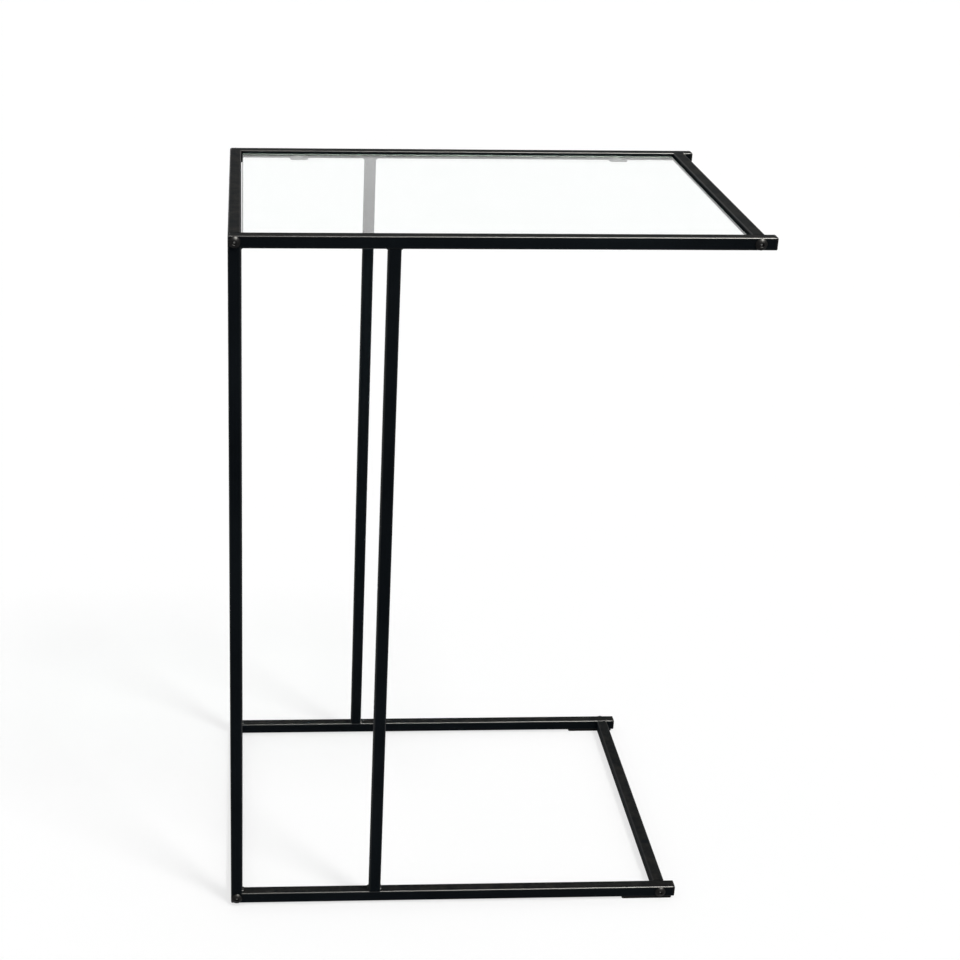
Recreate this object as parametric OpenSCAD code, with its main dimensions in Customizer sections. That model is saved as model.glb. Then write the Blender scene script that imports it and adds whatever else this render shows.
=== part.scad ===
// Small side table with a C-shaped frame: two side frames of square steel tube,
// four crossbars screwed between them, and a loose glass top set inside the upper frame.
// +X points to the open side, +Y to the back, +Z up. The origin is on the floor,
// under the middle of the table.

/* [Overall] */
// Length of the top, from the outer posts to the free ends of the top rails
top_l = 415; // [340:1:520]
// Length of the base, from the outer posts to the free ends of the base rails
base_l = 390; // [300:1:500]
// Depth over the two side frames
depth = 285; // [220:1:400]
// Height of the side frames, without the floor pads
frame_h = 600; // [400:1:750]
// Distance from the outside of the outer posts to the inner posts
inner_post_x = 120; // [60:1:200]
// Length of rail that runs on past the right crossbars
overhang = 8; // [8:1:30]

/* [Tube] */
// Outside width of the square tube
tube = 10; // [10:0.5:20]
// Wall of the square tube
wall = 1; // [0.8:0.1:1.5]
// Outside corner radius of the square tube
tube_r = 1.2; // [1:0.1:2]
// Radius that the outer corners of the side frames are ground to
corner_r = 2; // [1.5:0.1:3.5]

/* [Screws] */
// Diameter of the screws
screw_d = 5; // [4:0.5:5.5]
// Length of screw inside the threaded plugs
thread_in = 10; // [6:1:18]
// Diameter of the screw heads
head_d = 9.5; // [8:0.1:10]
// Height of the screw heads
head_h = 2.75; // [2.2:0.05:3.5]
// Height of the straight rim below the dome of a head
head_rim = 0.4; // [0.2:0.1:1]
// Width across the flats of the hexagon socket
socket_af = 3; // [2:0.5:4]
// Depth of the hexagon socket
socket_h = 1.6; // [1:0.1:2]
// Space all round a screw in the tube walls
hole_clear = 0.25; // [0.1:0.05:0.5]

/* [Threaded plugs] */
// Length of the plugs in the ends of the crossbars
plug_l = 14; // [10:1:20]
// Space between a plug and each wall of its tube
plug_clear = 0.05; // [0.02:0.01:0.1]
// Space all round a screw in a plug's thread
thread_clear = 0.05; // [0.02:0.01:0.1]

/* [End caps] */
// Thickness of the cap that covers the end of a rail
cap_head = 2; // [1.5:0.1:3]
// Radius of the cap's outer edges
cap_r = 0.9; // [0.5:0.1:1.2]
// Depth that a cap's sleeve goes into its rail
cap_sleeve = 6; // [4:0.5:7]
// Wall of a cap's sleeve
cap_wall = 1; // [0.8:0.1:1.5]
// Space between a cap's sleeve and each wall of its tube
cap_clear = 0.1; // [0.05:0.05:0.3]

/* [Glass top] */
// Thickness of the glass
glass_t = 4; // [3:0.5:6]
// Space between the glass and the frame on each side
glass_gap = 1; // [0.5:0.1:2]
// Corner radius of the glass
glass_r = 2.5; // [1:0.5:8]
// Width of the ground edge all round the glass
glass_arris = 0.5; // [0.2:0.1:1]

/* [Glass supports] */
// Length of a support tab along its rail
tab_l = 16; // [12:1:30]
// Width that a support tab stands out from its rail
tab_w = 12; // [10:1:20]
// Thickness of a support tab
tab_t = 1.5; // [1:0.1:2.5]
// Corner radius of a support tab
tab_r = 3; // [1:0.5:4]
// Distance from each end of the glass to the middle of its tab
tab_inset = 50; // [25:1:120]
// Diameter of the clear pads between the tabs and the glass
bumper_d = 8; // [5:0.5:9]
// Thickness of the clear pads
bumper_t = 0.8; // [0.5:0.1:1.5]

/* [Floor pads] */
// Length of a floor pad
foot_l = 44; // [15:1:60]
// Width of a floor pad
foot_w = 9; // [5:0.5:10]
// Thickness of a floor pad
foot_t = 2; // [1:0.1:4]
// Corner radius of a floor pad
foot_r = 1.5; // [0.5:0.5:2.5]
// Distance from the free ends of the base rails, and the ends of the left crossbar, to the pads
foot_inset = 2.5; // [2.5:0.5:20]

/* [Hidden] */
$fn = 48;

// A cutter runs this far past the faces that it cuts
over = 1;

// Colours
coat_black = [0.10, 0.11, 0.12];
screw_black = [0.06, 0.06, 0.07];
zinc = [0.62, 0.63, 0.62];
cap_black = [0.13, 0.13, 0.14];
clear_glass = [0.72, 0.84, 0.80, 0.35];
clear_pad = [0.86, 0.88, 0.88, 0.7];
foot_black = [0.17, 0.17, 0.17];

// Inside of the tube, whose corners are never quite sharp
least_bore_r = 0.2;
bore_w = tube - 2 * wall;
bore_r = max(tube_r - wall, least_bore_r);

// Outer face of the posts, and the middles of the four crossbars along X
left_x = -max(top_l, base_l) / 2;
left_bar_x = left_x + tube / 2;
top_bar_x = left_x + top_l - overhang - tube / 2;
base_bar_x = left_x + base_l - overhang - tube / 2;

// Middle of the front side frame, and the outer and inner faces of its tubes
frame_y = -(depth - tube) / 2;
outer_y = -depth / 2;
inner_y = outer_y + tube;
crossbar_l = depth - 2 * tube;

// Bottom and top of the side frames, and the middles of the base and top rails
bottom_z = foot_t;
top_z = bottom_z + frame_h;
base_mid_z = bottom_z + tube / 2;
top_mid_z = top_z - tube / 2;

// Screws and plugs
screw_hole_r = screw_d / 2 + hole_clear;
screw_l = tube + thread_in;
plug_w = bore_w - 2 * plug_clear;
head_dome_r = (pow(head_d / 2, 2) + pow(head_h - head_rim, 2)) / (2 * (head_h - head_rim));

// The glass lies on clear pads on tabs, which start where the side of the rail is flat
tab_z = top_z - tube + tube_r;
bumper_z = tab_z + tab_t;
glass_z = bumper_z + bumper_t;
glass_left = left_x + tube + glass_gap;
glass_right = top_bar_x - tube / 2 - glass_gap;
glass_l = glass_right - glass_left;
glass_w = crossbar_l - 2 * glass_gap;
glass_mid_x = (glass_left + glass_right) / 2;
tab_middles = [glass_left + tab_inset, glass_right - tab_inset];
bumper_y = inner_y + (glass_gap + tab_w) / 2;

// Middles of the front floor pads: the right one along the base rail,
// the left one along the base left crossbar
right_foot_x = left_x + base_l - foot_inset - foot_l / 2;
left_foot_y = inner_y + foot_inset + foot_l / 2;

// Flat outlines

module rounded_rectangle(l, w, r) {
    square([l - 2 * r, w], center = true);
    square([l, w - 2 * r], center = true);
    for (x = [-1, 1], y = [-1, 1]) {
        translate([x * (l / 2 - r), y * (w / 2 - r)])
            circle(r);
    }
}

module tube_outline() {
    difference() {
        rounded_rectangle(tube, tube, tube_r);
        rounded_rectangle(bore_w, bore_w, bore_r);
    }
}

// A rectangle from X = 0 to l whose two corners at X = l are round
module end_rounded(l, w, r) {
    translate([0, -w / 2])
        square([l - r, w]);
    translate([0, r - w / 2])
        square([l, w - 2 * r]);
    for (y = [-1, 1]) {
        translate([l - r, y * (w / 2 - r)])
            circle(r);
    }
}

// A rectangle whose four corners are cut off at 45 degrees
module cut_corner_rectangle(l, w, c) {
    polygon([
        [-l / 2 + c, -w / 2], [l / 2 - c, -w / 2], [l / 2, -w / 2 + c], [l / 2, w / 2 - c],
        [l / 2 - c, w / 2], [-l / 2 + c, w / 2], [-l / 2, w / 2 - c], [-l / 2, -w / 2 + c]
    ]);
}

// Placing

// What is drawn for the front side frame, turned over to the rear one
module rear() {
    mirror([0, 1, 0])
        children();
}

// Draws upright in X and Z, from the middle of the front frame's thickness
module upright_plate(t) {
    rotate([90, 0, 0])
        linear_extrude(t, center = true)
            children();
}

// Cutters for a left corner of a side frame, drawn at the origin with the frame
// towards +X and +Z: one takes off the corner's tip, the others leave one half of the mitre

module corner_tip() {
    upright_plate(tube + 2 * over)
        difference() {
            translate([-over, -over])
                square(corner_r + over);
            translate([corner_r, corner_r])
                circle(corner_r);
        }
}

module below_mitre() {
    upright_plate(tube + 2 * over)
        polygon([
            [-over, -over],
            [tube + over, -over],
            [tube + over, tube + over]
        ]);
}

module above_mitre() {
    upright_plate(tube + 2 * over)
        polygon([
            [-over, -over],
            [-over, tube + over],
            [tube + over, tube + over]
        ]);
}

module screw_hole(x, z) {
    translate([x, frame_y, z])
        rotate([90, 0, 0])
            cylinder(r = screw_hole_r, h = tube + 2 * over, center = true);
}

// Side frames

module outer_post() {
    color(coat_black)
        difference() {
            translate([left_bar_x, frame_y, bottom_z])
                linear_extrude(frame_h)
                    tube_outline();
            translate([left_x, frame_y, bottom_z]) {
                below_mitre();
                corner_tip();
            }
            translate([left_x, frame_y, top_z])
                mirror([0, 0, 1]) {
                    below_mitre();
                    corner_tip();
                }
            screw_hole(left_bar_x, base_mid_z);
            screw_hole(left_bar_x, top_mid_z);
        }
}

module inner_post() {
    color(coat_black)
        translate([left_x + inner_post_x + tube / 2, frame_y, bottom_z + tube])
            linear_extrude(frame_h - 2 * tube)
                tube_outline();
}

// A tube along X from the left corner to its end cap, mitred at the corner
module rail(l, bar_x) {
    difference() {
        translate([left_x, frame_y, base_mid_z])
            rotate([0, 90, 0])
                linear_extrude(l - cap_head)
                    tube_outline();
        translate([left_x, frame_y, bottom_z]) {
            above_mitre();
            corner_tip();
        }
        screw_hole(left_bar_x, base_mid_z);
        screw_hole(bar_x, base_mid_z);
    }
}

module base_rail() {
    color(coat_black)
        rail(base_l, base_bar_x);
}

// The top rail is a rail turned upside down
module top_rail() {
    color(coat_black)
        translate([0, 0, bottom_z + top_z])
            mirror([0, 0, 1])
                rail(top_l, top_bar_x);
}

// Crossbars and their threaded plugs

module crossbar(x, z) {
    color(coat_black)
        translate([x, inner_y, z])
            rotate([-90, 0, 0])
                linear_extrude(crossbar_l)
                    tube_outline();
}

module plug(x, z) {
    translate([x, inner_y, z])
        rotate([-90, 0, 0])
            difference() {
                linear_extrude(plug_l)
                    rounded_rectangle(plug_w, plug_w, bore_r);
                translate([0, 0, -over])
                    cylinder(d = screw_d + 2 * thread_clear, h = plug_l + 2 * over);
            }
}

module plugs(x, z) {
    color(zinc) {
        plug(x, z);
        rear() plug(x, z);
    }
}

// Screws

module screw(x, z) {
    translate([x, outer_y, z])
        rotate([90, 0, 0]) {
            difference() {
                intersection() {
                    cylinder(d = head_d, h = head_h);
                    translate([0, 0, head_h - head_dome_r])
                        sphere(head_dome_r, $fn = 96);
                }
                translate([0, 0, head_h - socket_h])
                    cylinder(d = socket_af / cos(30), h = socket_h + over, $fn = 6);
            }
            translate([0, 0, -screw_l])
                cylinder(d = screw_d, h = screw_l);
        }
}

module screws() {
    color(screw_black) {
        screw(left_bar_x, top_mid_z);
        screw(top_bar_x, top_mid_z);
        screw(left_bar_x, base_mid_z);
        screw(base_bar_x, base_mid_z);
    }
}

// End caps

// The cap's head, from X = 0 outwards, rounded along its outer edges
module cap_block() {
    intersection() {
        rotate([0, 90, 0])
            linear_extrude(cap_head)
                rounded_rectangle(tube, tube, tube_r);
        linear_extrude(tube, center = true)
            end_rounded(cap_head, tube, cap_r);
        upright_plate(tube)
            end_rounded(cap_head, tube, cap_r);
    }
}

module end_cap(x, z) {
    sleeve_w = bore_w - 2 * cap_clear;
    hollow_w = sleeve_w - 2 * cap_wall;
    color(cap_black)
        translate([x - cap_head, frame_y, z]) {
            cap_block();
            rotate([0, -90, 0])
                linear_extrude(cap_sleeve)
                    difference() {
                        rounded_rectangle(sleeve_w, sleeve_w, bore_r);
                        square(hollow_w, center = true);
                    }
        }
}

module top_cap() {
    end_cap(left_x + top_l, top_mid_z);
}

module base_cap() {
    end_cap(left_x + base_l, base_mid_z);
}

// Glass top and what carries it

module glass_tabs() {
    color(coat_black)
        for (x = tab_middles) {
            translate([x, inner_y, tab_z])
                rotate([0, 0, 90])
                    linear_extrude(tab_t)
                        end_rounded(tab_w, tab_l, tab_r);
        }
}

module glass_pads() {
    color(clear_pad)
        for (x = tab_middles) {
            translate([x, bumper_y, bumper_z])
                cylinder(d = bumper_d, h = bumper_t);
        }
}

module glass_top() {
    color(clear_glass)
        translate([glass_mid_x, 0, glass_z + glass_t / 2])
            intersection() {
                linear_extrude(glass_t, center = true)
                    rounded_rectangle(glass_l, glass_w, glass_r);
                upright_plate(glass_w)
                    cut_corner_rectangle(glass_l, glass_t, glass_arris);
                rotate([90, 0, 90])
                    linear_extrude(glass_l, center = true)
                        cut_corner_rectangle(glass_w, glass_t, glass_arris);
            }
}

// Floor pads

module floor_pad() {
    linear_extrude(foot_t)
        rounded_rectangle(foot_l, foot_w, foot_r);
}

module floor_pads() {
    color(foot_black) {
        translate([right_foot_x, frame_y, 0])
            floor_pad();
        translate([left_bar_x, left_foot_y, 0])
            rotate([0, 0, 90])
                floor_pad();
    }
}

outer_post();  // front_outer_post
inner_post();  // front_inner_post
top_rail();  // front_top_rail
base_rail();  // front_base_rail
rear() outer_post();  // rear_outer_post
rear() inner_post();  // rear_inner_post
rear() top_rail();  // rear_top_rail
rear() base_rail();  // rear_base_rail
crossbar(left_bar_x, top_mid_z);  // top_left_crossbar
crossbar(top_bar_x, top_mid_z);  // top_right_crossbar
crossbar(left_bar_x, base_mid_z);  // base_left_crossbar
crossbar(base_bar_x, base_mid_z);  // base_right_crossbar
plugs(left_bar_x, top_mid_z);  // top_left_plugs
plugs(top_bar_x, top_mid_z);  // top_right_plugs
plugs(left_bar_x, base_mid_z);  // base_left_plugs
plugs(base_bar_x, base_mid_z);  // base_right_plugs
screws();  // front_screws
rear() screws();  // rear_screws
top_cap();  // front_top_cap
rear() top_cap();  // rear_top_cap
base_cap();  // front_base_cap
rear() base_cap();  // rear_base_cap
glass_tabs();  // front_glass_tabs
rear() glass_tabs();  // rear_glass_tabs
glass_pads();  // front_glass_pads
rear() glass_pads();  // rear_glass_pads
glass_top();
floor_pads();  // front_floor_pads
rear() floor_pads();  // rear_floor_pads
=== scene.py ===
"""The looks of a small C-shaped side table: black coated steel tube, glass top, screws, caps and pads."""

import math

import bmesh
import bpy
from bmesh.types import BMEdge, BMVert
from mathutils import Matrix, Vector


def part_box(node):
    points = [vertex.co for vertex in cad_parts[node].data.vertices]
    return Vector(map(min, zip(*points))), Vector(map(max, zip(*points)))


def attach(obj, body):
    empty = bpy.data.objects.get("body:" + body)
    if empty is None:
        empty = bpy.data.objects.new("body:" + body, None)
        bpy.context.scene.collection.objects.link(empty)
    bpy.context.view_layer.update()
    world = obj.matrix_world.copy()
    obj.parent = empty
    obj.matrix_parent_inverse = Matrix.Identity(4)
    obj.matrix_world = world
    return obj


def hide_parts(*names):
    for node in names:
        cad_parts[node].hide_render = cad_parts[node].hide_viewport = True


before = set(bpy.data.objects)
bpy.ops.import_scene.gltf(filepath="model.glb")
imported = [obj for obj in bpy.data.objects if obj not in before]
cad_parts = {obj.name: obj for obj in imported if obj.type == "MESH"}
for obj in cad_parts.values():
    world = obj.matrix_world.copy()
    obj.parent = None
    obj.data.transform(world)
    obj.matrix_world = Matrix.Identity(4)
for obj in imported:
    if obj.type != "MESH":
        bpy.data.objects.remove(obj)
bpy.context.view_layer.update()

MM = 0.001
SIDES = ("front", "rear")
LEVELS = ("top", "base")

# Lengths that differ by less than this are the same
SAME = 1e-6

# Solids of one node that are farther apart than this are separate ones
SOLIDS_APART = 60 * MM

# Camera: where it stands, which way it looks in degrees, its lens and sensor in mm, and the lens shift
EYE = (-0.1954, -1.4056, 0.9617)
LOOKS_DOWN = 22.16
TURNS_RIGHT = 3.37
ROLL = 1.17
LENS = 65.95
SENSOR = 36
SHIFT = (0.1458, -0.0521)

# Square tube
WALL = 1 * MM
TUBE_R = 1.2 * MM
EDGE_STEPS = 6

# Mitred corners are ground round. Each tube has facets at these angles from its outer face, in degrees.
CORNER_R = 2 * MM
CORNER_FACETS = (11.25, 33.75)

# Welds: a bead's legs and sides, the length of its ripples, their height as a share of its thickness,
# the cuts of each, the share that is left at its tip, and where it starts behind the ground flush faces
BEAD_LEG = 1.9 * MM
BEAD_STEPS = 16
RIPPLE_L = 1.1 * MM
RIPPLE_HEIGHT = 0.08
RIPPLE_CUTS = 6
BEAD_TIP = 0.1
GROUND_FLUSH = 2.2 * MM

# The bead under a glass tab, and the share of the tab that it leaves free at each end
TAB_BEAD_LEG = 1.1 * MM
TAB_BEAD_MARGIN = 0.1

# Screws
SCREW_R = 2.5 * MM
SCREW_STEPS = 48
SHANK_L = 20 * MM
HEAD_R = 4.75 * MM
HEAD_H = 2.75 * MM
HEAD_RIM = 0.4 * MM
HEAD_ARRIS = 0.12 * MM
DOME_STEPS = 9

# Thread, with the places of its crest and root as shares of the pitch
THREAD_PITCH = 0.8 * MM
THREAD_DEPTH = 0.45 * MM
THREAD_CREST = 0.35
THREAD_ROOT = 0.8

# Hexagon socket, and how far it is turned in the first screw and more in each next one, in degrees
SOCKET_AF = 3 * MM
SOCKET_H = 1.6 * MM
SOCKET_CHAMFER = 0.25 * MM
SOCKET_TIP_W = 1.5 * MM
SOCKET_TIP_H = 0.4 * MM
FIRST_TURN = 17
NEXT_TURN = 23

# End caps
CAP_HEAD = 2 * MM
CAP_R = 0.9 * MM
CAP_STEPS = 4
CAP_SLEEVE = 6 * MM
CAP_WALL = 1 * MM
SLEEVE_W = 7.8 * MM
SLEEVE_R = 0.4 * MM

# A cap's rubbed edge starts at this share of its head's height and of its width
CAP_EDGE = 0.4

# Flat plates: the steps of a corner in plan, and of the rounded rims above and below it
PLATE_STEPS = 5
RIM_STEPS = 3

# Glass, and the least share of Z in the normal of its two large faces
GLASS_R = 2.5 * MM
GLASS_ARRIS = 0.5 * MM
GLASS_STEPS = 6
GLASS_FLAT = 0.99

# Glass tabs and floor pads
TAB_R = 3 * MM
TAB_RIM = 0.3 * MM
FOOT_R = 1.5 * MM
FOOT_RIM = 0.35 * MM

# Clear pads: the crown's angles in degrees, the share of the height of its straight side,
# and the share of the radius of its flat top
PAD_CROWN = (0, 15, 30, 45, 60)
PAD_SIDE = 0.25
PAD_FLAT = 0.4
PAD_STEPS = 32

# How rubbed the pieces without long rounded edges are, from 0 to 1
WELD_WEAR = 0.8
TAB_WEAR = 0.3
FOOT_WEAR = 0.5

# Colours, linear. A pair holds the darker and the lighter tone of a surface, and a tint is what
# a clear piece does to the light that passes straight through it.
WHITE = (1, 1, 1, 1)
# Warm grey for what faces up: settled dirt, and painted light from above on the tops.
DUST_AND_TOP_LIGHT = (0.075, 0.066, 0.052, 1)
COAT = ((0.0016, 0.0027, 0.0040, 1), (0.0041, 0.0061, 0.0080, 1))
COAT_WORN = (0.016, 0.016, 0.015, 1)
CAP = ((0.0025, 0.0027, 0.0031, 1), (0.0048, 0.0051, 0.0057, 1))
CAP_WORN = (0.012, 0.012, 0.011, 1)
RUBBER = ((0.006, 0.006, 0.006, 1), (0.011, 0.011, 0.011, 1))
RUBBER_WORN = (0.03, 0.028, 0.025, 1)
OXIDE = ((0.0020, 0.0020, 0.0022, 1), (0.0042, 0.0042, 0.0045, 1))
OXIDE_WORN = (0.02, 0.019, 0.018, 1)
STEEL = ((0.075, 0.075, 0.073, 1), (0.15, 0.15, 0.146, 1))
ZINC = ((0.52, 0.53, 0.53, 1), (0.68, 0.68, 0.66, 1))
GLASS = ((0.96, 0.985, 0.973, 1), (0.972, 0.99, 0.982, 1))
GLASS_TINT = (0.93, 0.96, 0.945, 1)
# The ground edge's dark green: partly the glass's own green, partly painted shade from the black rails
# beside it.
GROUND_GREEN_AND_SHADE = ((0.02, 0.045, 0.036, 1), (0.04, 0.075, 0.062, 1))
GROUND_TINT = (0.7, 0.8, 0.75, 1)
SOFT = ((0.86, 0.88, 0.88, 1), (0.94, 0.95, 0.95, 1))
SOFT_TINT = (0.85, 0.87, 0.87, 1)

# Studio: the floor's size, its grey as the part's surroundings and as it is seen, and its own glow
FLOOR_HALF = 30
FLOOR_AROUND = (0.8, 0.8, 0.8, 1)
FLOOR_SEEN = (0.36, 0.36, 0.36, 1)
FLOOR_GLOW = 0.66

# The world's strength as the part's surroundings and as it is seen
WORLD_AROUND = 0.6
WORLD_SEEN = 1.0


# Pieces

def mark_edges(bm, weight):
    """Writes how near each vertex lies to a long rounded edge, from 0 to 1, for the finish."""
    layer = bm.verts.layers.float.new("edge")
    for v in bm.verts:
        v[layer] = min(max(weight(v.co), 0), 1)


def piece(name, bm, materials, body, slot, *nodes, sharp=35, even_flats=True):
    """Makes a finished mesh a piece that rides on a body and stands for CAD nodes.
    Edges stay sharp from an angle of sharp degrees."""
    bmesh.ops.recalc_face_normals(bm, faces=bm.faces[:])
    mesh = bpy.data.meshes.new(name)
    bm.to_mesh(mesh)
    bm.free()
    mesh.shade_smooth()
    mesh.set_sharp_from_angle(angle=math.radians(sharp))
    for material in materials:
        mesh.materials.append(material)
    made = bpy.data.objects.new(name, mesh)
    bpy.context.scene.collection.objects.link(made)
    if even_flats:
        flats = made.modifiers.new("even flats", "WEIGHTED_NORMAL")
        flats.keep_sharp = True
    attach(made, body)
    if nodes:
        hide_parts(*nodes)


def outward_y(side):
    """The way out of a side frame's outer face along Y."""
    return -1 if side == "front" else 1


def crossbar_nodes():
    """The names of the four crossbars."""
    return [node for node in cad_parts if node.endswith("_crossbar")]


def box_round(points):
    """The lowest and the highest corner of the box round some points."""
    return [Vector(limit(co[axis] for co in points) for axis in range(3)) for limit in (min, max)]


def solid_boxes(node):
    """The box of each solid of a node, whose solids stand in a row along X."""
    points = sorted((v.co.copy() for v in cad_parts[node].data.vertices), key=lambda co: co.x)
    solids = [points[:1]]
    for before, co in zip(points, points[1:]):
        if co.x - before.x > SOLIDS_APART:
            solids.append([])
        solids[-1].append(co)
    return [box_round(solid) for solid in solids]


# Shaping

def only(kind, geom):
    """The parts of one kind, such as vertices, in a list of mixed geometry."""
    return [part for part in geom if isinstance(part, kind)]


def level_edges(bm):
    """The edges that run level."""
    return [e for e in bm.edges if abs(e.verts[0].co.z - e.verts[1].co.z) < SAME]


def round_edges(bm, edges, radius, steps):
    """Rounds edges, or chamfers them in one step."""
    bmesh.ops.bevel(
        bm, geom=edges, offset=radius, segments=steps, profile=0.5, affect="EDGES", material=-1)


def round_corners(bm, verts, radius, steps):
    """Rounds corners of a flat face."""
    bmesh.ops.bevel(
        bm, geom=verts, offset=radius, offset_type="OFFSET", segments=steps, profile=0.5,
        affect="VERTICES", material=-1)


def thicken(bm, faces, height):
    """Makes a solid of flat faces, with their copy above them."""
    upper = bmesh.ops.extrude_face_region(bm, geom=faces, use_keep_orig=True)["geom"]
    bmesh.ops.translate(bm, vec=(0, 0, height), verts=only(BMVert, upper))


def cut_off(bm, place, normal, hollow):
    """Cuts away what lies past a plane and closes the cut."""
    everything = bm.verts[:] + bm.edges[:] + bm.faces[:]
    cut = bmesh.ops.bisect_plane(
        bm, geom=everything, dist=1e-7, plane_co=place, plane_no=normal, clear_outer=True)
    edges = [e for e in only(BMEdge, cut["geom_cut"]) if e.is_boundary]
    if hollow:
        bmesh.ops.bridge_loops(bm, edges=edges)
    else:
        bmesh.ops.edgeloop_fill(bm, edges=edges)


def rounded_plate(bm, low, high, radius, steps=PLATE_STEPS, corners=None):
    """A flat plate between two corners of a box. Its corners are round in plan,
    or only those that corners says yes to."""
    grid = bmesh.ops.create_grid(bm, x_segments=1, y_segments=1, size=0.5)
    size = high - low
    bmesh.ops.scale(bm, vec=(size.x, size.y, 1), verts=grid["verts"])
    bmesh.ops.translate(bm, vec=((low.x + high.x) / 2, (low.y + high.y) / 2, low.z), verts=grid["verts"])
    face = grid["verts"][0].link_faces[0]
    round_corners(bm, [v for v in face.verts if corners is None or corners(v.co)], radius, steps)
    thicken(bm, bm.faces[:], size.z)


def revolve(bm, profile, steps):
    """Spins a profile of (radius, height) pairs round Z. A radius of 0 closes the shape."""
    verts = [bm.verts.new((r, 0, z)) for r, z in profile]
    edges = [bm.edges.new(pair) for pair in zip(verts, verts[1:])]
    bmesh.ops.spin(
        bm, geom=verts + edges, cent=(0, 0, 0), axis=(0, 0, 1), angle=2 * math.pi, steps=steps,
        use_merge=True)
    bmesh.ops.remove_doubles(bm, verts=bm.verts[:], dist=SAME)


def join_into(bm, part, place):
    """Adds a small bmesh to a larger one at a place."""
    bmesh.ops.recalc_face_normals(part, faces=part.faces[:])
    bmesh.ops.transform(part, matrix=place, verts=part.verts[:])
    copy = bpy.data.meshes.new("part")
    part.to_mesh(copy)
    part.free()
    bm.from_mesh(copy)
    bpy.data.meshes.remove(copy)


# Tubes

def tube(low, high):
    """A hollow square tube between two corners of a box, along the box's longest side."""
    size = high - low
    along = max(range(3), key=lambda axis: size[axis])
    width = size[(along + 1) % 3]
    bm = bmesh.new()
    bmesh.ops.create_grid(bm, x_segments=1, y_segments=1, size=width / 2)
    round_corners(bm, bm.verts[:], TUBE_R, EDGE_STEPS)
    bore = bm.faces[:]
    ring = bmesh.ops.inset_region(
        bm, faces=bore, thickness=WALL, use_boundary=True, use_even_offset=True)["faces"]
    bmesh.ops.delete(bm, geom=bore, context="FACES_ONLY")
    thicken(bm, ring, size[along])
    arc_start = width - TUBE_R
    arc_middle = width - 2 * TUBE_R * (1 - math.sqrt(0.5))
    mark_edges(bm, lambda co: (abs(co.x) + abs(co.y) - arc_start) / (arc_middle - arc_start))
    turn = (Matrix.Rotation(math.pi / 2, 4, "Y"), Matrix.Rotation(-math.pi / 2, 4, "X"), Matrix())[along]
    start = (low + high) / 2
    start[along] = low[along]
    bmesh.ops.transform(bm, matrix=Matrix.Translation(start) @ turn, verts=bm.verts[:])
    return bm


def mitre(bm, corner, own, other):
    """Cuts a tube end at 45 degrees and grinds its outer corner round.
    own and other point out of the outer faces of this tube and of its neighbour."""
    cut_off(bm, corner, (own - other) * -1, hollow=True)
    centre = corner - (own + other) * CORNER_R
    for angle in CORNER_FACETS:
        normal = own * math.cos(math.radians(angle)) + other * math.sin(math.radians(angle))
        cut_off(bm, centre + normal * CORNER_R, normal, hollow=False)


def side_frame(side, coat):
    """The four welded tubes of one side frame. The three mitred ones are cut from full-length tubes."""
    post_low, post_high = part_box(side + "_outer_post")
    base_low, base_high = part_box(side + "_base_rail")
    top_low, top_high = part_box(side + "_top_rail")
    base_low.x = top_low.x = post_low.x
    post_low.z = base_low.z
    post_high.z = top_high.z
    middle_y = (post_low.y + post_high.y) / 2
    base_corner = Vector((post_low.x, middle_y, post_low.z))
    top_corner = Vector((post_low.x, middle_y, post_high.z))
    left = Vector((-1, 0, 0))
    down = Vector((0, 0, -1))
    up = Vector((0, 0, 1))
    post = tube(post_low, post_high)
    mitre(post, base_corner, left, down)
    mitre(post, top_corner, left, up)
    base = tube(base_low, base_high)
    mitre(base, base_corner, down, left)
    top = tube(top_low, top_high)
    mitre(top, top_corner, up, left)
    tubes = {"outer_post": post, "base_rail": base, "top_rail": top}
    tubes["inner_post"] = tube(*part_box(side + "_inner_post"))
    for part, bm in tubes.items():
        node = f"{side}_{part}"
        piece(node + "_tube", bm, [coat], "frame", "powder_coat", node)


def crossbars(coat):
    """The four crossbars between the side frames."""
    for node in crossbar_nodes():
        piece(node + "_tube", tube(*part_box(node)), [coat], "frame", "powder_coat", node)


# Welds

def bead(bm, start, end, leg):
    """A rippled weld bead with round ends along an inside corner, half sunk into the tubes."""
    run = end - start
    radius = leg * math.sqrt(0.5)
    part = bmesh.new()
    bmesh.ops.create_cone(
        part, cap_ends=True, segments=BEAD_STEPS, radius1=radius, radius2=radius, depth=run.length)
    long_edges = [e for e in part.edges if abs(e.verts[0].co.z - e.verts[1].co.z) > run.length / 2]
    ripples = max(2, round(run.length / RIPPLE_L))
    bmesh.ops.subdivide_edges(part, edges=long_edges, cuts=RIPPLE_CUTS * ripples - 1, use_grid_fill=True)
    for v in part.verts:
        past_round = max(abs(v.co.z) - run.length / 2 + radius, 0) / radius
        roundness = math.sqrt(max(1 - past_round ** 2, BEAD_TIP ** 2))
        ripple = 1 + RIPPLE_HEIGHT * math.cos(2 * math.pi * ripples * (v.co.z / run.length + 0.5))
        v.co.x *= roundness * ripple
        v.co.y *= roundness * ripple
    turn = Vector((0, 0, 1)).rotation_difference(run).to_matrix().to_4x4()
    join_into(bm, part, Matrix.Translation((start + end) / 2) @ turn)


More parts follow.
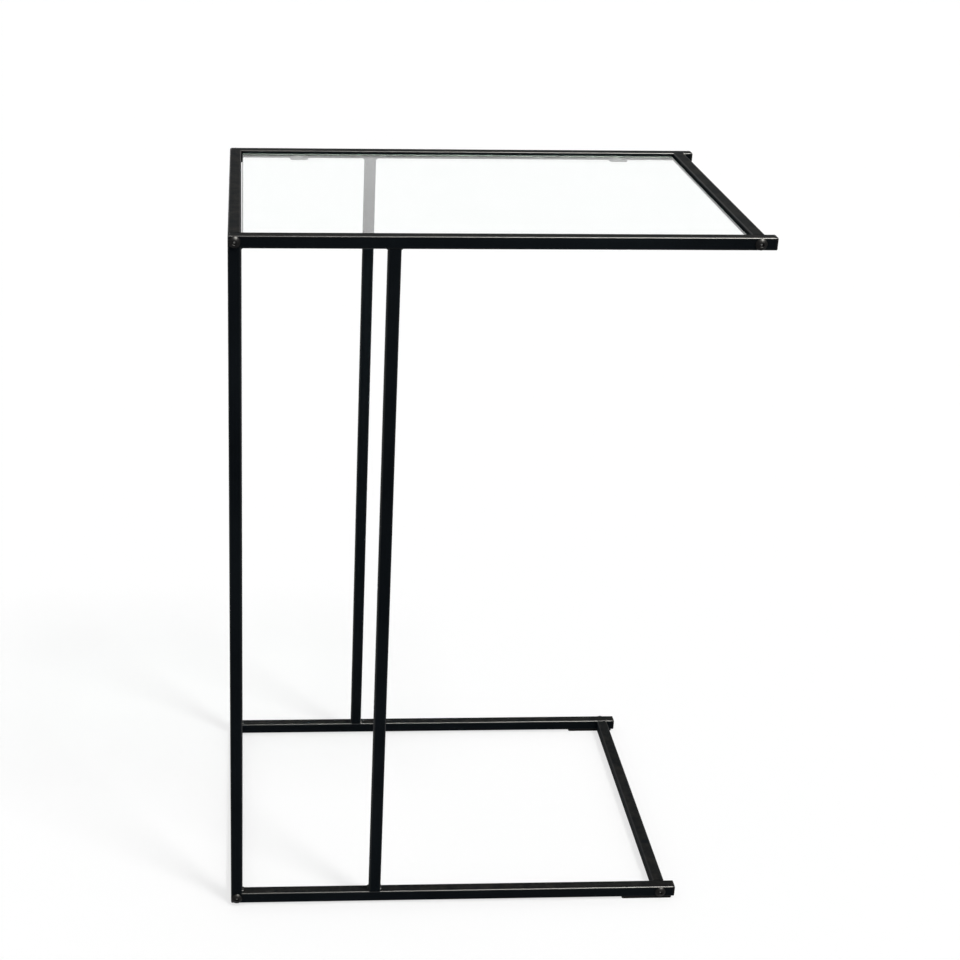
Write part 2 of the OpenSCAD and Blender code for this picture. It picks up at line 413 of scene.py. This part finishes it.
def frame_welds(side, coat):
    """The beads at both ends of the inner post and inside the two mitred corners."""
    post_low, post_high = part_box(side + "_inner_post")
    outer_post_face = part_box(side + "_outer_post")[1].x
    outward = outward_y(side)
    outer_y, inner_y = (post_low.y, post_high.y) if outward < 0 else (post_high.y, post_low.y)
    start_y = outer_y - outward * GROUND_FLUSH
    stop_y = inner_y + outward * TUBE_R / 2
    bm = bmesh.new()
    for z in (post_low.z, post_high.z):
        for x in (outer_post_face, post_low.x, post_high.x):
            bead(bm, Vector((x, start_y, z)), Vector((x, stop_y, z)), BEAD_LEG)
    mark_edges(bm, lambda co: WELD_WEAR)
    piece(side + "_frame_welds", bm, [coat], "frame", "powder_coat", sharp=60, even_flats=False)


# Glass and its supports

def glass_tabs(side, coat):
    """The tabs that carry the glass, with a short bead under each where it meets the rail."""
    node = side + "_glass_tabs"
    bm = bmesh.new()
    for low, high in solid_boxes(node):
        rail_y = low.y if side == "front" else high.y
        part = bmesh.new()
        rounded_plate(part, low, high, TAB_R, corners=lambda co: abs(co.y - rail_y) > TAB_R)
        rims = [e for e in level_edges(part) if not all(abs(v.co.y - rail_y) < SAME for v in e.verts)]
        round_edges(part, rims, TAB_RIM, RIM_STEPS)
        join_into(bm, part, Matrix())
        margin = (high.x - low.x) * TAB_BEAD_MARGIN
        bead_start = Vector((low.x + margin, rail_y, low.z))
        bead_end = Vector((high.x - margin, rail_y, low.z))
        bead(bm, bead_start, bead_end, TAB_BEAD_LEG)
    mark_edges(bm, lambda co: TAB_WEAR)
    piece(side + "_tabs_with_beads", bm, [coat], "frame", "powder_coat", node)


def glass_pads(side, clear):
    """Clear domed pads between the tabs and the glass."""
    node = side + "_glass_pads"
    bm = bmesh.new()
    for low, high in solid_boxes(node):
        radius = (high.y - low.y) / 2
        height = high.z - low.z
        middle = (low + high) / 2
        crown = [(radius * math.cos(a), height * (PAD_SIDE + (1 - PAD_SIDE) * math.sin(a)))
                 for a in map(math.radians, PAD_CROWN)]
        part = bmesh.new()
        revolve(
            part, [(0, 0), (radius, 0), *crown, (radius * PAD_FLAT, height), (0, height)], PAD_STEPS)
        join_into(bm, part, Matrix.Translation((middle.x, middle.y, low.z)))
    piece(side + "_clear_pads", bm, [clear], "frame", "clear_pad", node, even_flats=False)


def glass_plate(clear, shaded_ground_edge):
    """The glass top, with its ground edge and narrow arris."""
    low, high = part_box("glass_top")
    bm = bmesh.new()
    rounded_plate(bm, low, high, GLASS_R, steps=GLASS_STEPS)
    round_edges(bm, level_edges(bm), GLASS_ARRIS, 1)
    for face in bm.faces:
        face.normal_update()
        face.material_index = 0 if abs(face.normal.z) > GLASS_FLAT else 1
    piece("glass_plate", bm, [clear, shaded_ground_edge], "glass", "clear_glass", "glass_top", sharp=25)


# Screws

def screw_profile(mouth_r):
    """Half the section of a screw, from the mouth of its socket over the head to the shank's end."""
    dome = HEAD_H - HEAD_RIM
    dome_r = (HEAD_R ** 2 + dome ** 2) / (2 * dome)
    start = math.asin(mouth_r / dome_r)
    stop = math.asin(HEAD_R / dome_r)
    arc = [start + (stop - start) * i / DOME_STEPS for i in range(DOME_STEPS + 1)]
    profile = [(dome_r * math.sin(a), HEAD_H - dome_r * (1 - math.cos(a))) for a in arc]
    profile += [(HEAD_R, HEAD_RIM / 3), (HEAD_R - HEAD_ARRIS, 0), (SCREW_R, 0)]
    depth = 0.0
    while depth < SHANK_L - THREAD_PITCH:
        profile.append((SCREW_R, -depth - THREAD_PITCH * THREAD_CREST))
        profile.append((SCREW_R - THREAD_DEPTH, -depth - THREAD_PITCH * THREAD_ROOT))
        depth += THREAD_PITCH
    return profile + [(SCREW_R - THREAD_DEPTH, -SHANK_L), (0, -SHANK_L)]


def button_head_screw():
    """One screw: its head stands on Z = 0 and its threaded shank points down."""
    bm = bmesh.new()
    hexagon_r = SOCKET_AF / 2 / math.cos(math.pi / 6)
    revolve(bm, screw_profile(hexagon_r + SOCKET_CHAMFER), SCREW_STEPS)
    mouth = [e for e in bm.edges if e.is_boundary]
    mouth_z = mouth[0].verts[0].co.z
    hexagon = bmesh.ops.create_circle(
        bm, segments=6, radius=hexagon_r, matrix=Matrix.Translation((0, 0, mouth_z - SOCKET_CHAMFER)))
    sides = list({e for v in hexagon["verts"] for e in v.link_edges})
    bmesh.ops.subdivide_edges(bm, edges=sides, cuts=SCREW_STEPS // 6 - 1)
    rim = [e for e in bm.edges if (e.is_boundary or not e.link_faces) and e not in mouth]
    bmesh.ops.bridge_loops(bm, edges=mouth + rim)
    floor = bmesh.ops.extrude_edge_only(bm, edges=rim)["geom"]
    bmesh.ops.translate(bm, vec=(0, 0, SOCKET_CHAMFER - SOCKET_H), verts=only(BMVert, floor))
    tip_rim = bmesh.ops.extrude_edge_only(bm, edges=only(BMEdge, floor))["geom"]
    narrower = SOCKET_TIP_W / SOCKET_AF
    bmesh.ops.scale(bm, vec=(narrower, narrower, 1), verts=only(BMVert, tip_rim))
    tip = bmesh.ops.contextual_create(bm, geom=only(BMEdge, tip_rim))["faces"]
    cone = bmesh.ops.poke(bm, faces=tip)
    bmesh.ops.translate(bm, vec=(0, 0, -SOCKET_TIP_H), verts=cone["verts"])
    for face in cone["faces"]:
        face.material_index = 1
    return bm


def screw_places():
    """Screw axes: the middles of the four crossbars."""
    middles = [sum(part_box(node), Vector()) / 2 for node in crossbar_nodes()]
    return [(middle.x, middle.z) for middle in middles]


def screws(side, oxide, bare_tip):
    """The four screws of a side frame, with a bare steel tip at the bottom of each socket."""
    node = side + "_screws"
    outward = outward_y(side)
    face_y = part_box(side + "_outer_post")[0 if outward < 0 else 1].y
    turn = Matrix.Rotation(math.radians(-90 * outward), 4, "X")
    bm = bmesh.new()
    for i, (x, z) in enumerate(screw_places()):
        spin = Matrix.Rotation(math.radians(FIRST_TURN + NEXT_TURN * i), 4, "Z")
        join_into(bm, button_head_screw(), Matrix.Translation((x, face_y, z)) @ turn @ spin)
    mark_edges(bm, lambda co: (co.y - face_y) * outward / HEAD_RIM - 1)
    piece(
        side + "_button_head_screws", bm, [oxide, bare_tip], "frame", "black_screw", node,
        even_flats=False)


# Caps and floor pads

def cap_sleeve():
    """The hollow sleeve of a cap, which goes down from Z = 0."""
    bm = bmesh.new()
    half = SLEEVE_W / 2
    rounded_plate(bm, Vector((-half, -half, -CAP_SLEEVE)), Vector((half, half, 0)), SLEEVE_R)
    mouth = [f for f in bm.faces if f.calc_center_median().z < -CAP_SLEEVE + SAME]
    bmesh.ops.inset_region(bm, faces=mouth, thickness=CAP_WALL, use_even_offset=True)
    bmesh.ops.translate(
        bm, vec=(0, 0, CAP_SLEEVE - CAP_WALL), verts=list({v for f in mouth for v in f.verts}))
    return bm


def end_cap(node, plastic):
    """A plastic cap: a rounded head on the tube's end and a hollow sleeve inside it."""
    low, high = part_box(node)
    middle = (low + high) / 2
    half = (high.z - low.z) / 2
    bm = bmesh.new()
    rounded_plate(bm, Vector((-half, -half, 0)), Vector((half, half, CAP_HEAD)), TUBE_R)
    rim = [e for e in bm.edges if all(v.co.z > CAP_HEAD - SAME for v in e.verts)]
    round_edges(bm, rim, CAP_R, CAP_STEPS)
    join_into(bm, cap_sleeve(), Matrix())
    mark_edges(bm, lambda co: co.z > CAP_HEAD * CAP_EDGE and max(abs(co.x), abs(co.y)) > half * 2 * CAP_EDGE)
    turn = Matrix.Rotation(math.pi / 2, 4, "Y")
    place = Matrix.Translation((high.x - CAP_HEAD, middle.y, middle.z))
    bmesh.ops.transform(bm, matrix=place @ turn, verts=bm.verts[:])
    piece(node + "_moulding", bm, [plastic], "frame", "cap_plastic", node)


def floor_pads(side, rubber):
    """The rubber pads under a side frame, with soft rims."""
    node = side + "_floor_pads"
    bm = bmesh.new()
    for low, high in solid_boxes(node):
        part = bmesh.new()
        rounded_plate(part, low, high, FOOT_R)
        round_edges(part, level_edges(part), FOOT_RIM, RIM_STEPS)
        join_into(bm, part, Matrix())
    mark_edges(bm, lambda co: FOOT_WEAR)
    piece(side + "_rubber_pads", bm, [rubber], "frame", "foot_rubber", node)


# Shader parts

def put(tree, socket, value):
    """Links a socket to another node's output, or sets it to a plain value."""
    if isinstance(value, bpy.types.NodeSocket):
        tree.links.new(value, socket)
    else:
        socket.default_value = value


def add(tree, kind, sockets=None, **settings):
    """Adds a shader node, with its settings and with a value or a link for each named socket."""
    made = tree.nodes.new(kind)
    for name, value in settings.items():
        setattr(made, name, value)
    for name, value in (sockets or {}).items():
        put(tree, made.inputs[name], value)
    return made


def use_group(tree, group, sockets):
    """Places a shared node group, with its own values."""
    return add(tree, "ShaderNodeGroup", sockets, node_tree=group)


def maths(tree, operation, a, b, **settings):
    """The result of an operation on two values."""
    return add(tree, "ShaderNodeMath", {0: a, 1: b}, operation=operation, **settings).outputs[0]


def mix_colour(tree, share, a, b):
    """A colour between a and b."""
    return add(tree, "ShaderNodeMix", {0: share, 6: a, 7: b}, data_type="RGBA").outputs[2]


def spread(tree, value, low, high):
    """What lies between low and high, spread out from 0 to 1."""
    return add(tree, "ShaderNodeMapRange", {"Value": value, "From Min": low, "From Max": high}).outputs[0]


def between(tree, value, low, high):
    """A value from 0 to 1, brought between low and high."""
    return add(tree, "ShaderNodeMapRange", {"Value": value, "To Min": low, "To Max": high}).outputs[0]


def bumped(tree, height, strength, distance):
    """A normal that follows a height."""
    sockets = {"Height": height, "Strength": strength, "Distance": distance}
    return add(tree, "ShaderNodeBump", sockets).outputs[0]


def edge_mark(tree):
    """How near a long rounded edge is, from 0 to 1."""
    return add(tree, "ShaderNodeAttribute", attribute_name="edge").outputs["Fac"]


def shader_group(name, inputs, outputs):
    """An empty node group with its sockets."""
    tree = bpy.data.node_groups.new(name, "ShaderNodeTree")
    for socket, kind, value in inputs:
        made = tree.interface.new_socket(name=socket, in_out="INPUT", socket_type="NodeSocket" + kind)
        if value is not None:
            made.default_value = value
    for socket, kind in outputs:
        tree.interface.new_socket(name=socket, in_out="OUTPUT", socket_type="NodeSocket" + kind)
    return tree, tree.nodes.new("NodeGroupInput"), tree.nodes.new("NodeGroupOutput")


def noise(tree, given, size, detail, roughness):
    """A noise inside a group, whose patches are as large as the named input says."""
    sockets = {"Vector": given.outputs["Place"], "Scale": maths(tree, "DIVIDE", 1.0, given.outputs[size]),
               "Detail": detail, "Roughness": roughness}
    return add(tree, "ShaderNodeTexNoise", sockets).outputs[0]


def skin_group():
    """A sprayed or moulded skin: a fine grain as a height, and a slow cloud as a mask."""
    tree, given, out = shader_group(
        "fine_skin",
        [("Place", "Vector", None), ("Grain size", "Float", 0.001), ("Cloud size", "Float", 0.05)],
        [("Height", "Float"), ("Cloud", "Float")])
    put(tree, out.inputs["Height"], noise(tree, given, "Grain size", 2.0, 0.45))
    put(tree, out.inputs["Cloud"], spread(tree, noise(tree, given, "Cloud size", 4.0, 0.6), 0.3, 0.7))
    return tree


def wear_group():
    """Wear along rounded edges, broken up by a noise."""
    tree, given, out = shader_group(
        "edge_wear",
        [("Place", "Vector", None), ("Edge", "Float", 0.0), ("Patch size", "Float", 0.01),
         ("Amount", "Float", 0.5)],
        [("Mask", "Float")])
    torn = spread(tree, noise(tree, given, "Patch size", 5.0, 0.65), 0.38, 0.66)
    band = maths(tree, "MULTIPLY", given.outputs["Edge"], torn)
    put(tree, out.inputs["Mask"], maths(tree, "MULTIPLY", band, given.outputs["Amount"], use_clamp=True))
    return tree


def dust_and_top_light_group():
    """Lighter warm grey on what faces up, thicker in patches: settled dirt, and painted light from above on
    the tops.
    """
    tree, given, out = shader_group(
        "settled_dust_and_top_light",
        [("Place", "Vector", None), ("Patch size", "Float", 0.02), ("Amount", "Float", 0.3)],
        [("Mask", "Float")])
    faces = add(tree, "ShaderNodeNewGeometry")
    upward = add(tree, "ShaderNodeSeparateXYZ", {0: faces.outputs["Normal"]})
    flat = spread(tree, upward.outputs["Z"], 0.55, 0.95)
    thin = spread(tree, noise(tree, given, "Patch size", 6.0, 0.75), 0.35, 0.75)
    lying = maths(tree, "MULTIPLY", flat, thin)
    put(tree, out.inputs["Mask"], maths(tree, "MULTIPLY", lying, given.outputs["Amount"], use_clamp=True))
    return tree


# Finishes

def surface(name):
    """A new material with its tree, its Principled shader and the object's own coordinates."""
    material = bpy.data.materials.new(name)
    material.use_nodes = True
    tree = material.node_tree
    place = add(tree, "ShaderNodeTexCoord").outputs["Object"]
    return material, tree, tree.nodes["Principled BSDF"], place


def feed(tree, shader, **sockets):
    """Sets or links sockets of a shader, written with _ for each space."""
    for name, value in sockets.items():
        put(tree, shader.inputs[name.replace("_", " ")], value)


def coated(name, skin, wear, dust_and_light, tones, worn, grain, rough, shine):
    """A dark skin with a fine grain, a slow change of tone, glossier edges, and settled dirt with painted
    top light on what faces up.
    """
    material, tree, shader, place = surface(name)
    edge = edge_mark(tree)
    skinned = use_group(tree, skin, {"Place": place, "Grain size": grain, "Cloud size": 0.09})
    rubbed = use_group(tree, wear, {"Place": place, "Edge": edge, "Patch size": 0.012, "Amount": 0.35})
    # Upward faces get lighter here: settled dirt, and painted light from above.
    dusty_and_lit = use_group(tree, dust_and_light, {"Place": place, "Patch size": 0.01, "Amount": 0.25})
    tone = mix_colour(tree, skinned.outputs["Cloud"], *tones)
    edged = mix_colour(tree, rubbed.outputs["Mask"], tone, worn)
    feed(
        tree, shader,
        Base_Color=mix_colour(tree, dusty_and_lit.outputs["Mask"], edged, DUST_AND_TOP_LIGHT),
        Roughness=between(tree, skinned.outputs["Cloud"], *rough),
        Specular_IOR_Level=0.014,
        Coat_Weight=between(tree, edge, 0.0, shine),
        Coat_Roughness=0.3,
        Normal=bumped(tree, skinned.outputs["Height"], 0.4, 0.00009))
    return material


def black_oxide(skin, wear):
    """Oiled black screws, a little polished on the dome."""
    material, tree, shader, place = surface("black_oxide")
    edge = edge_mark(tree)
    skinned = use_group(tree, skin, {"Place": place, "Grain size": 0.0004, "Cloud size": 0.003})
    rubbed = use_group(tree, wear, {"Place": place, "Edge": edge, "Patch size": 0.002, "Amount": 0.15})
    tone = mix_colour(tree, skinned.outputs["Cloud"], *OXIDE)
    feed(
        tree, shader,
        Base_Color=mix_colour(tree, rubbed.outputs["Mask"], tone, OXIDE_WORN),
        Roughness=between(tree, skinned.outputs["Cloud"], 0.35, 0.5),
        Specular_IOR_Level=0.022,
        Coat_Weight=between(tree, edge, 0.0, 0.13),
        Coat_Roughness=0.38,
        Normal=bumped(tree, skinned.outputs["Height"], 0.2, 0.00002))
    return material


def bare_steel(skin):
    """Dull steel at the bottom of a screw's socket, where the key has rubbed the black away."""
    material, tree, shader, place = surface("bare_steel")
    skinned = use_group(tree, skin, {"Place": place, "Grain size": 0.0002, "Cloud size": 0.001})
    feed(
        tree, shader,
        Base_Color=mix_colour(tree, skinned.outputs["Cloud"], *STEEL),
        Metallic=1.0,
        Roughness=between(tree, skinned.outputs["Height"], 0.3, 0.45),
        Normal=bumped(tree, skinned.outputs["Height"], 0.2, 0.00002))
    return material


def zinc_plate(skin):
    """Bright zinc plating with a slight brushed tone."""
    material, tree, shader, place = surface("zinc_plate")
    skinned = use_group(tree, skin, {"Place": place, "Grain size": 0.0003, "Cloud size": 0.002})
    feed(
        tree, shader,
        Base_Color=mix_colour(tree, skinned.outputs["Cloud"], *ZINC),
        Metallic=1.0,
        Roughness=between(tree, skinned.outputs["Height"], 0.25, 0.45),
        Normal=bumped(tree, skinned.outputs["Height"], 0.2, 0.00003))
    return material


def let_light_through(tree, shader, tint):
    """Lets lamp light and soft light pass straight through a piece of the glass top or its pads,
    so that its shadow stays faint."""
    path = add(tree, "ShaderNodeLightPath")
    straight = maths(tree, "MAXIMUM", path.outputs["Is Shadow Ray"], path.outputs["Is Diffuse Ray"])
    clear = add(tree, "ShaderNodeBsdfTransparent", {"Color": tint})
    mix = add(tree, "ShaderNodeMixShader", {0: straight, 1: shader.outputs[0], 2: clear.outputs[0]})
    put(tree, tree.nodes["Material Output"].inputs["Surface"], mix.outputs[0])


def glass_face(skin):
    """Clear float glass, very slightly wavy, with a faint change of tint."""
    material, tree, shader, place = surface("clear_glass_face")
    skinned = use_group(tree, skin, {"Place": place, "Grain size": 0.03, "Cloud size": 0.05})
    feed(
        tree, shader,
        Base_Color=mix_colour(tree, skinned.outputs["Cloud"], *GLASS),
        Roughness=0.0,
        IOR=1.5,
        Transmission_Weight=1.0,
        Normal=bumped(tree, skinned.outputs["Height"], 0.02, 0.0004))
    let_light_through(tree, shader, GLASS_TINT)
    return material


def glass_edge(skin):
    """The ground edge, dark green and solid: partly the glass's own green, partly painted shade from the
    black rails beside it.
    """
    material, tree, shader, place = surface("ground_glass_edge_painted_shade")
    skinned = use_group(tree, skin, {"Place": place, "Grain size": 0.0006, "Cloud size": 0.01})
    feed(
        tree, shader,
        Base_Color=mix_colour(tree, skinned.outputs["Cloud"], *GROUND_GREEN_AND_SHADE),
        Roughness=between(tree, skinned.outputs["Height"], 0.35, 0.55),
        IOR=1.5,
        Normal=bumped(tree, skinned.outputs["Height"], 0.3, 0.00004))
    let_light_through(tree, shader, GROUND_TINT)
    return material


def soft_clear(skin):
    """Clear soft plastic of the glass pads."""
    material, tree, shader, place = surface("clear_soft_pad")
    skinned = use_group(tree, skin, {"Place": place, "Grain size": 0.0008, "Cloud size": 0.004})
    feed(
        tree, shader,
        Base_Color=mix_colour(tree, skinned.outputs["Cloud"], *SOFT),
        Roughness=between(tree, skinned.outputs["Cloud"], 0.12, 0.3),
        IOR=1.46,
        Transmission_Weight=0.85,
        Normal=bumped(tree, skinned.outputs["Height"], 0.15, 0.00005))
    let_light_through(tree, shader, SOFT_TINT)
    return material


# Studio

def make_camera():
    """The camera, which stands and looks about as the photograph's did."""
    data = bpy.data.cameras.new("camera")
    data.sensor_width = SENSOR
    data.lens = LENS
    data.shift_x, data.shift_y = SHIFT
    camera = bpy.data.objects.new("camera", data)
    turn = Matrix.Rotation(math.radians(-TURNS_RIGHT), 4, "Z")
    tilt = Matrix.Rotation(math.radians(90 - LOOKS_DOWN), 4, "X")
    roll = Matrix.Rotation(math.radians(ROLL), 4, "Z")
    camera.matrix_world = Matrix.Translation(EYE) @ turn @ tilt @ roll
    bpy.context.scene.collection.objects.link(camera)
    bpy.context.scene.camera = camera


def seen(tree):
    """1 for rays from the camera, from gloss and through glass, which meet a white background."""
    path = add(tree, "ShaderNodeLightPath")
    first = maths(tree, "MAXIMUM", path.outputs["Is Camera Ray"], path.outputs["Is Glossy Ray"])
    return maths(tree, "MAXIMUM", first, path.outputs["Is Transmission Ray"])


def make_floor():
    """A pale floor that is white to the eye where no shadow lies."""
    bm = bmesh.new()
    bmesh.ops.create_grid(bm, x_segments=1, y_segments=1, size=FLOOR_HALF)
    mesh = bpy.data.meshes.new("floor")
    bm.to_mesh(mesh)
    bm.free()
    floor = bpy.data.objects.new("floor", mesh)
    bpy.context.scene.collection.objects.link(floor)
    material = bpy.data.materials.new("pale_floor")
    material.use_nodes = True
    tree = material.node_tree
    tree.nodes.remove(tree.nodes["Principled BSDF"])
    around = add(tree, "ShaderNodeBsdfDiffuse", {"Color": FLOOR_AROUND})
    shaded = add(tree, "ShaderNodeBsdfDiffuse", {"Color": FLOOR_SEEN})
    glow = add(tree, "ShaderNodeEmission", {"Color": WHITE, "Strength": FLOOR_GLOW})
    both = add(tree, "ShaderNodeAddShader", {0: shaded.outputs[0], 1: glow.outputs[0]})
    mix = add(tree, "ShaderNodeMixShader", {0: seen(tree), 1: around.outputs[0], 2: both.outputs[0]})
    put(tree, tree.nodes["Material Output"].inputs["Surface"], mix.outputs[0])
    mesh.materials.append(material)


def make_world():
    """White surroundings, at full strength only where they are seen."""
    world = bpy.data.worlds.new("studio")
    world.use_nodes = True
    tree = world.node_tree
    background = tree.nodes["Background"]
    put(tree, background.inputs["Color"], WHITE)
    put(tree, background.inputs["Strength"], between(tree, seen(tree), WORLD_AROUND, WORLD_SEEN))
    bpy.context.scene.world = world


def make_lamp(name, towards, energy, angle, colour):
    """A distant lamp that stands towards a direction and looks angle degrees wide."""
    data = bpy.data.lights.new(name, "SUN")
    data.energy = energy
    data.angle = math.radians(angle)
    data.color = colour
    lamp = bpy.data.objects.new(name, data)
    lamp.rotation_mode = "QUATERNION"
    lamp.rotation_quaternion = Vector(towards).normalized().to_track_quat("Z", "Y")
    bpy.context.scene.collection.objects.link(lamp)
    return lamp


make_camera()
make_floor()
make_world()
make_lamp("overhead", towards=(0.35, -0.35, 0.87), energy=1.3, angle=12, colour=(1, 1, 1))
# The strip only shows in gloss, as a ceiling lamp does along an edge
strip = make_lamp("ceiling_strip", towards=(0.36, -0.39, 0.92), energy=30, angle=28, colour=(1, 0.97, 0.9))
strip.visible_diffuse = False

fine_skin = skin_group()
edge_wear = wear_group()
settled_dust_and_top_light = dust_and_top_light_group()
powder_coat = coated(
    "powder_coat", fine_skin, edge_wear, settled_dust_and_top_light, tones=COAT, worn=COAT_WORN, grain=0.0011,
    rough=(0.56, 0.68), shine=0.28)
cap_plastic = coated(
    "cap_plastic", fine_skin, edge_wear, settled_dust_and_top_light, tones=CAP, worn=CAP_WORN, grain=0.0005,
    rough=(0.6, 0.72), shine=0.12)
foot_rubber = coated(
    "foot_rubber", fine_skin, edge_wear, settled_dust_and_top_light, tones=RUBBER, worn=RUBBER_WORN, grain=0.0006,
    rough=(0.75, 0.9), shine=0.0)
screw_oxide = black_oxide(fine_skin, edge_wear)
socket_tip = bare_steel(fine_skin)
plug_zinc = zinc_plate(fine_skin)
clear_face = glass_face(fine_skin)
green_and_shaded_edge = glass_edge(fine_skin)
pad_clear = soft_clear(fine_skin)

for side in SIDES:
    side_frame(side, powder_coat)
    frame_welds(side, powder_coat)
    glass_tabs(side, powder_coat)
    glass_pads(side, pad_clear)
    screws(side, screw_oxide, socket_tip)
    floor_pads(side, foot_rubber)
    for level in LEVELS:
        end_cap(f"{side}_{level}_cap", cap_plastic)
crossbars(powder_coat)
glass_plate(clear_face, green_and_shaded_edge)

for node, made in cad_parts.items():
    if node.endswith("_plugs"):
        made.material_slots[0].material = plug_zinc

bpy.context.scene.view_settings.view_transform = "Standard"
